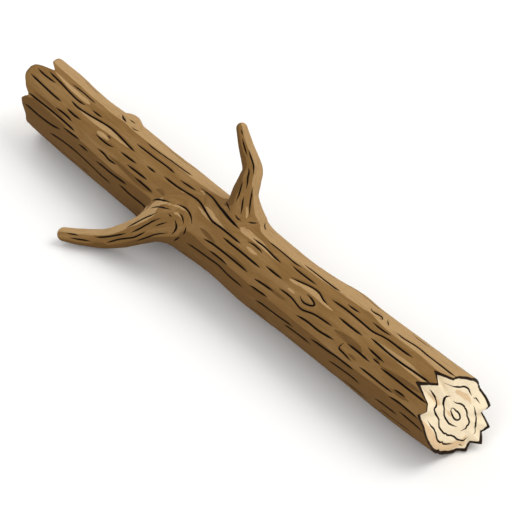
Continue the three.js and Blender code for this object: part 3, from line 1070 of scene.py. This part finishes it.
def new_object(name, data, place=(0, 0, 0), looks_along=None):
    made = bpy.data.objects.new(name, data)
    made.location = place
    if looks_along is not None:
        made.rotation_mode = "QUATERNION"
        made.rotation_quaternion = looks_along.to_track_quat("-Z", "Y")
    SCENE.collection.objects.link(made)
    return made


def frame_shift():
    """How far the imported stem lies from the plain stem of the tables, in millimetres."""
    low, high = (np.array(corner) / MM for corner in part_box("main_stem"))
    x, angle = np.meshgrid(np.linspace(TIP_X + TEAR_REACH, BUTT_X - TEAR_REACH, 400), np.arange(0, 360, 0.5))
    body = stem_middle(x) + outward(angle) * stem_radius(x, angle)[..., None]
    shift = low - body.min((0, 1))
    shift[0] = (low[0] + high[0] - min(x for _, x in TIP_TEAR) - max(x for _, x in BUTT_TEAR)) / 2
    return shift


# ---- materials ----


class Nodes:
    """A material's node tree, with each node made and wired in one call."""

    def __init__(self, name):
        self.material = bpy.data.materials.new(name)
        self.material.use_nodes = True
        self.tree = self.material.node_tree
        self.tree.nodes.clear()

    def add(self, kind, settings=None, **inputs):
        """A new node's outputs. An input is named for its socket, with _ for a space, or numbered as i0."""
        node = self.tree.nodes.new("ShaderNode" + kind)
        for key, value in (settings or {}).items():
            setattr(node, key, value)
        for key, value in inputs.items():
            socket = node.inputs[int(key[1:]) if key[1:].isdigit() else key.replace("_", " ")]
            if isinstance(value, bpy.types.NodeSocket):
                self.tree.links.new(value, socket)
            else:
                socket.default_value = (*value, 1) if socket.type == "RGBA" else value
        return node.outputs

    def attribute(self, name, output="Fac"):
        return self.add("Attribute", {"attribute_name": name})[output]

    def math(self, operation, a, b=0.0):
        return self.add("Math", {"operation": operation}, i0=a, i1=b)[0]

    def plus(self, a, b):
        return self.math("ADD", a, b)

    def times(self, a, b):
        return self.math("MULTIPLY", a, b)

    def centred(self, value, size):
        """Noise from 0 to 1, moved to lie round 0 and made as large as size."""
        return self.times(self.math("SUBTRACT", value, 0.5), size)

    def step(self, low, high, value):
        """0 below low and 1 above high, or the other way round where low is the larger."""
        ends = (1.0, 0.0) if low > high else (0.0, 1.0)
        return self.add(
            "MapRange", {"interpolation_type": "SMOOTHSTEP"}, Value=value,
            From_Min=min(low, high), From_Max=max(low, high), To_Min=ends[0], To_Max=ends[1],
        )[0]

    def mix(self, amount, a, b):
        return self.add("Mix", {"data_type": "RGBA"}, i0=amount, i6=a, i7=b)[2]

    def tint(self, colour, other, most, low, high, value):
        """A colour with some of another in it: none where the value is at low, and the most at high."""
        return self.mix(self.times(self.step(low, high, value), most), colour, other)

    def grain_noise(self, scale, detail=3.0, roughness=0.55, distortion=0.0):
        """Noise stretched along the grain: scale is how many cells a metre holds along each direction."""
        stretched = self.add("Mapping", Vector=self.attribute("grain", "Vector"), Scale=scale)[0]
        return self.add(
            "TexNoise", Vector=stretched, Scale=1.0, Detail=detail, Roughness=roughness, Distortion=distortion
        )[0]

    def furrow_line(self, inner):
        """1 along the dark bottom of a furrow and 0 outside it and past its ends."""
        line = self.step(1.15, inner, self.math("ABSOLUTE", self.attribute("furrow")))
        return self.times(line, self.step(2.8, 2.0, self.attribute("gap")))

    def finish(self, colour, roughness, height, strength, depth, specular):
        """The finished material. The bump's depth is in metres."""
        bump = self.add("Bump", Height=height, Strength=strength, Distance=depth)[0]
        shader = self.add(
            "BsdfPrincipled", Base_Color=colour, Roughness=roughness, Normal=bump, Specular_IOR_Level=specular
        )[0]
        self.add("OutputMaterial", Surface=shader)
        return self.material


# The lighter and darker bark colours give random tone and also the painted highlight and painted shade.
BARK_DARK_AND_SHADE = (0.133, 0.068, 0.021)
BARK_BASE = (0.217, 0.117, 0.037)
BARK_PALE_AND_HIGHLIGHT = (0.400, 0.255, 0.116)
# The near-black bottom of each furrow is painted shade in the crack.
FURROW_PAINTED_SHADE = (0.004, 0.002, 0.001)
WOOD_PALE = (0.87, 0.745, 0.535)
WOOD_TAN = (0.66, 0.43, 0.22)
WOOD_LINE = (0.012, 0.006, 0.003)
INNER_BARK = (0.020, 0.010, 0.005)


def bark_material():
    """Brown bark with a painted highlight band and a painted shade band, lighter and darker streaks that are
    partly painted highlight and shade, specks, painted shade beside the furrows and black furrow lines
    painted as shade in the cracks.
    """
    n = Nodes("bark")
    broad = n.grain_noise((14, 90, 90))
    streak = n.grain_noise((30, 380, 380), 4.0, 0.65, 0.4)
    speck = n.grain_noise((420, 900, 900), 3.0, 0.6)
    edge = n.centred(streak, 2.2)
    light, dark = (n.step(-0.25, 0.55, n.plus(n.attribute(band), edge)) for band in ("light", "dark"))
    colour = n.tint(BARK_BASE, BARK_PALE_AND_HIGHLIGHT, 0.22, 0.42, 0.72, broad)
    colour = n.tint(colour, BARK_DARK_AND_SHADE, 0.30, 0.52, 0.28, broad)
    # Painted highlight and painted shade from the light and dark bands and streaks.
    colour = n.mix(light, colour, BARK_PALE_AND_HIGHLIGHT)
    colour = n.mix(dark, colour, BARK_DARK_AND_SHADE)
    colour = n.tint(colour, BARK_DARK_AND_SHADE, 0.30, 0.50, 0.34, streak)
    colour = n.tint(colour, BARK_PALE_AND_HIGHLIGHT, 0.20, 0.56, 0.76, streak)
    colour = n.tint(colour, BARK_DARK_AND_SHADE, 0.15, 0.60, 0.38, speck)
    # Painted shade: the bark darkens toward each furrow's edge, in the groove's walls.
    colour = n.tint(colour, BARK_DARK_AND_SHADE, 0.35, 2.4, 0.5, n.attribute("gap"))
    # Painted shade: a near-black line along each furrow's bottom.
    colour = n.mix(n.furrow_line(0.85), colour, FURROW_PAINTED_SHADE)
    roughness = n.plus(0.80, n.times(streak, 0.18))
    height = n.plus(n.times(streak, 0.7), n.times(speck, 0.3))
    return n.finish(colour, roughness, height, strength=0.5, depth=0.0011, specular=0.08)


def torn_wood_material():
    """Pale wood with faint rings, tan streaks, black ring lines and a dark rim of inner bark."""
    n = Nodes("torn_wood")
    blotch = n.grain_noise((20, 60, 60), 2.0, 0.5, 0.6)
    fibre = n.grain_noise((60, 700, 700), 3.0, 0.6)
    wobble = n.grain_noise((20, 70, 70), 2.0)
    share = n.attribute("share")
    ring = n.math("SINE", n.times(n.plus(share, n.times(wobble, 0.12)), 110.0))
    tan = n.plus(n.attribute("light"), n.centred(blotch, 7.0))
    colour = n.tint(WOOD_PALE, WOOD_TAN, 0.72, -1.2, 1.2, tan)
    colour = n.tint(colour, WOOD_TAN, 0.16, 0.2, 1.0, ring)
    colour = n.tint(colour, WOOD_TAN, 0.18, 0.55, 0.3, fibre)
    colour = n.mix(n.furrow_line(0.8), colour, WOOD_LINE)
    rim = n.plus(share, n.centred(fibre, 0.02))
    colour = n.mix(n.step(BARK_FROM - 0.006, BARK_FROM + 0.006, rim), colour, INNER_BARK)
    roughness = n.plus(0.62, n.times(fibre, 0.25))
    height = n.plus(fibre, n.times(ring, 0.10))
    return n.finish(colour, roughness, height, strength=0.45, depth=0.0008, specular=0.12)


# ---- camera, floor and light ----

CAMERA_AZIMUTH = 52.25
CAMERA_ELEVATION = 38.5
CAMERA_DISTANCE = 5.1
CAMERA_LENS = 300
CAMERA_AIM = (0.0159, 0.0501, 0.0438)
FLOOR_REACH = 30
FLOOR_COLOUR = (0.86, 0.86, 0.855, 1)
FLOOR_ROUGHNESS = 0.85
WORLD_STRENGTH = 0.72

# Each lamp, aimed at the origin: place, size, power, colour.
LAMPS = {
    "key": ((0.9, 1.7, 2.6), 2.2, 50, (1.0, 0.97, 0.92)),
    "fill": ((1.2, -2.6, 1.8), 2.6, 30, (0.95, 0.97, 1.0)),
    "back": ((-2.2, 0.6, 1.6), 1.6, 16, (1.0, 1.0, 1.0)),
}


def make_floor():
    material = bpy.data.materials.new("floor")
    material.use_nodes = True
    shader = material.node_tree.nodes["Principled BSDF"]
    shader.inputs["Base Color"].default_value = FLOOR_COLOUR
    shader.inputs["Roughness"].default_value = FLOOR_ROUGHNESS
    mesh = bpy.data.meshes.new("floor")
    corners = [(x * FLOOR_REACH, y * FLOOR_REACH, 0) for x, y in ((-1, -1), (1, -1), (1, 1), (-1, 1))]
    mesh.from_pydata(corners, [], [(0, 1, 2, 3)])
    mesh.materials.append(material)
    floor = new_object("floor", mesh)


def make_camera():
    azimuth, elevation = math.radians(CAMERA_AZIMUTH), math.radians(CAMERA_ELEVATION)
    back = Vector((
        math.sin(azimuth) * math.cos(elevation),
        -math.cos(azimuth) * math.cos(elevation),
        math.sin(elevation),
    ))
    camera = bpy.data.cameras.new("camera")
    camera.lens = CAMERA_LENS
    camera.clip_end = 100
    place = Vector(CAMERA_AIM) + back * CAMERA_DISTANCE
    SCENE.camera = new_object("camera", camera, place, -back)


def make_lights():
    for name, (place, size, power, colour) in LAMPS.items():
        lamp = bpy.data.lights.new(name, "AREA")
        lamp.size = size
        lamp.energy = power
        lamp.color = colour
        new_object(name, lamp, place, -Vector(place))
    world = bpy.data.worlds.new("world")
    world.use_nodes = True
    background = world.node_tree.nodes["Background"].inputs
    background["Color"].default_value = (1, 1, 1, 1)
    background["Strength"].default_value = WORLD_STRENGTH
    SCENE.world = world
    SCENE.view_settings.view_transform = "Standard"


# ---- the branch ----

SHIFT = frame_shift()
STEM_MARKS = stem_marks()
FORKS = [make_limb("lower_side_limb", seed=41), make_limb("upper_side_limb", seed=52)]
BARK = bark_material()
TORN_WOOD = torn_wood_material()

make_floor()
make_camera()
make_lights()
PIECES = {"main_stem": stem_piece(), **{limb.name: limb_piece(limb) for limb in FORKS}}
for node, piece in PIECES.items():
    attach(piece, "root")
    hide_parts(node)
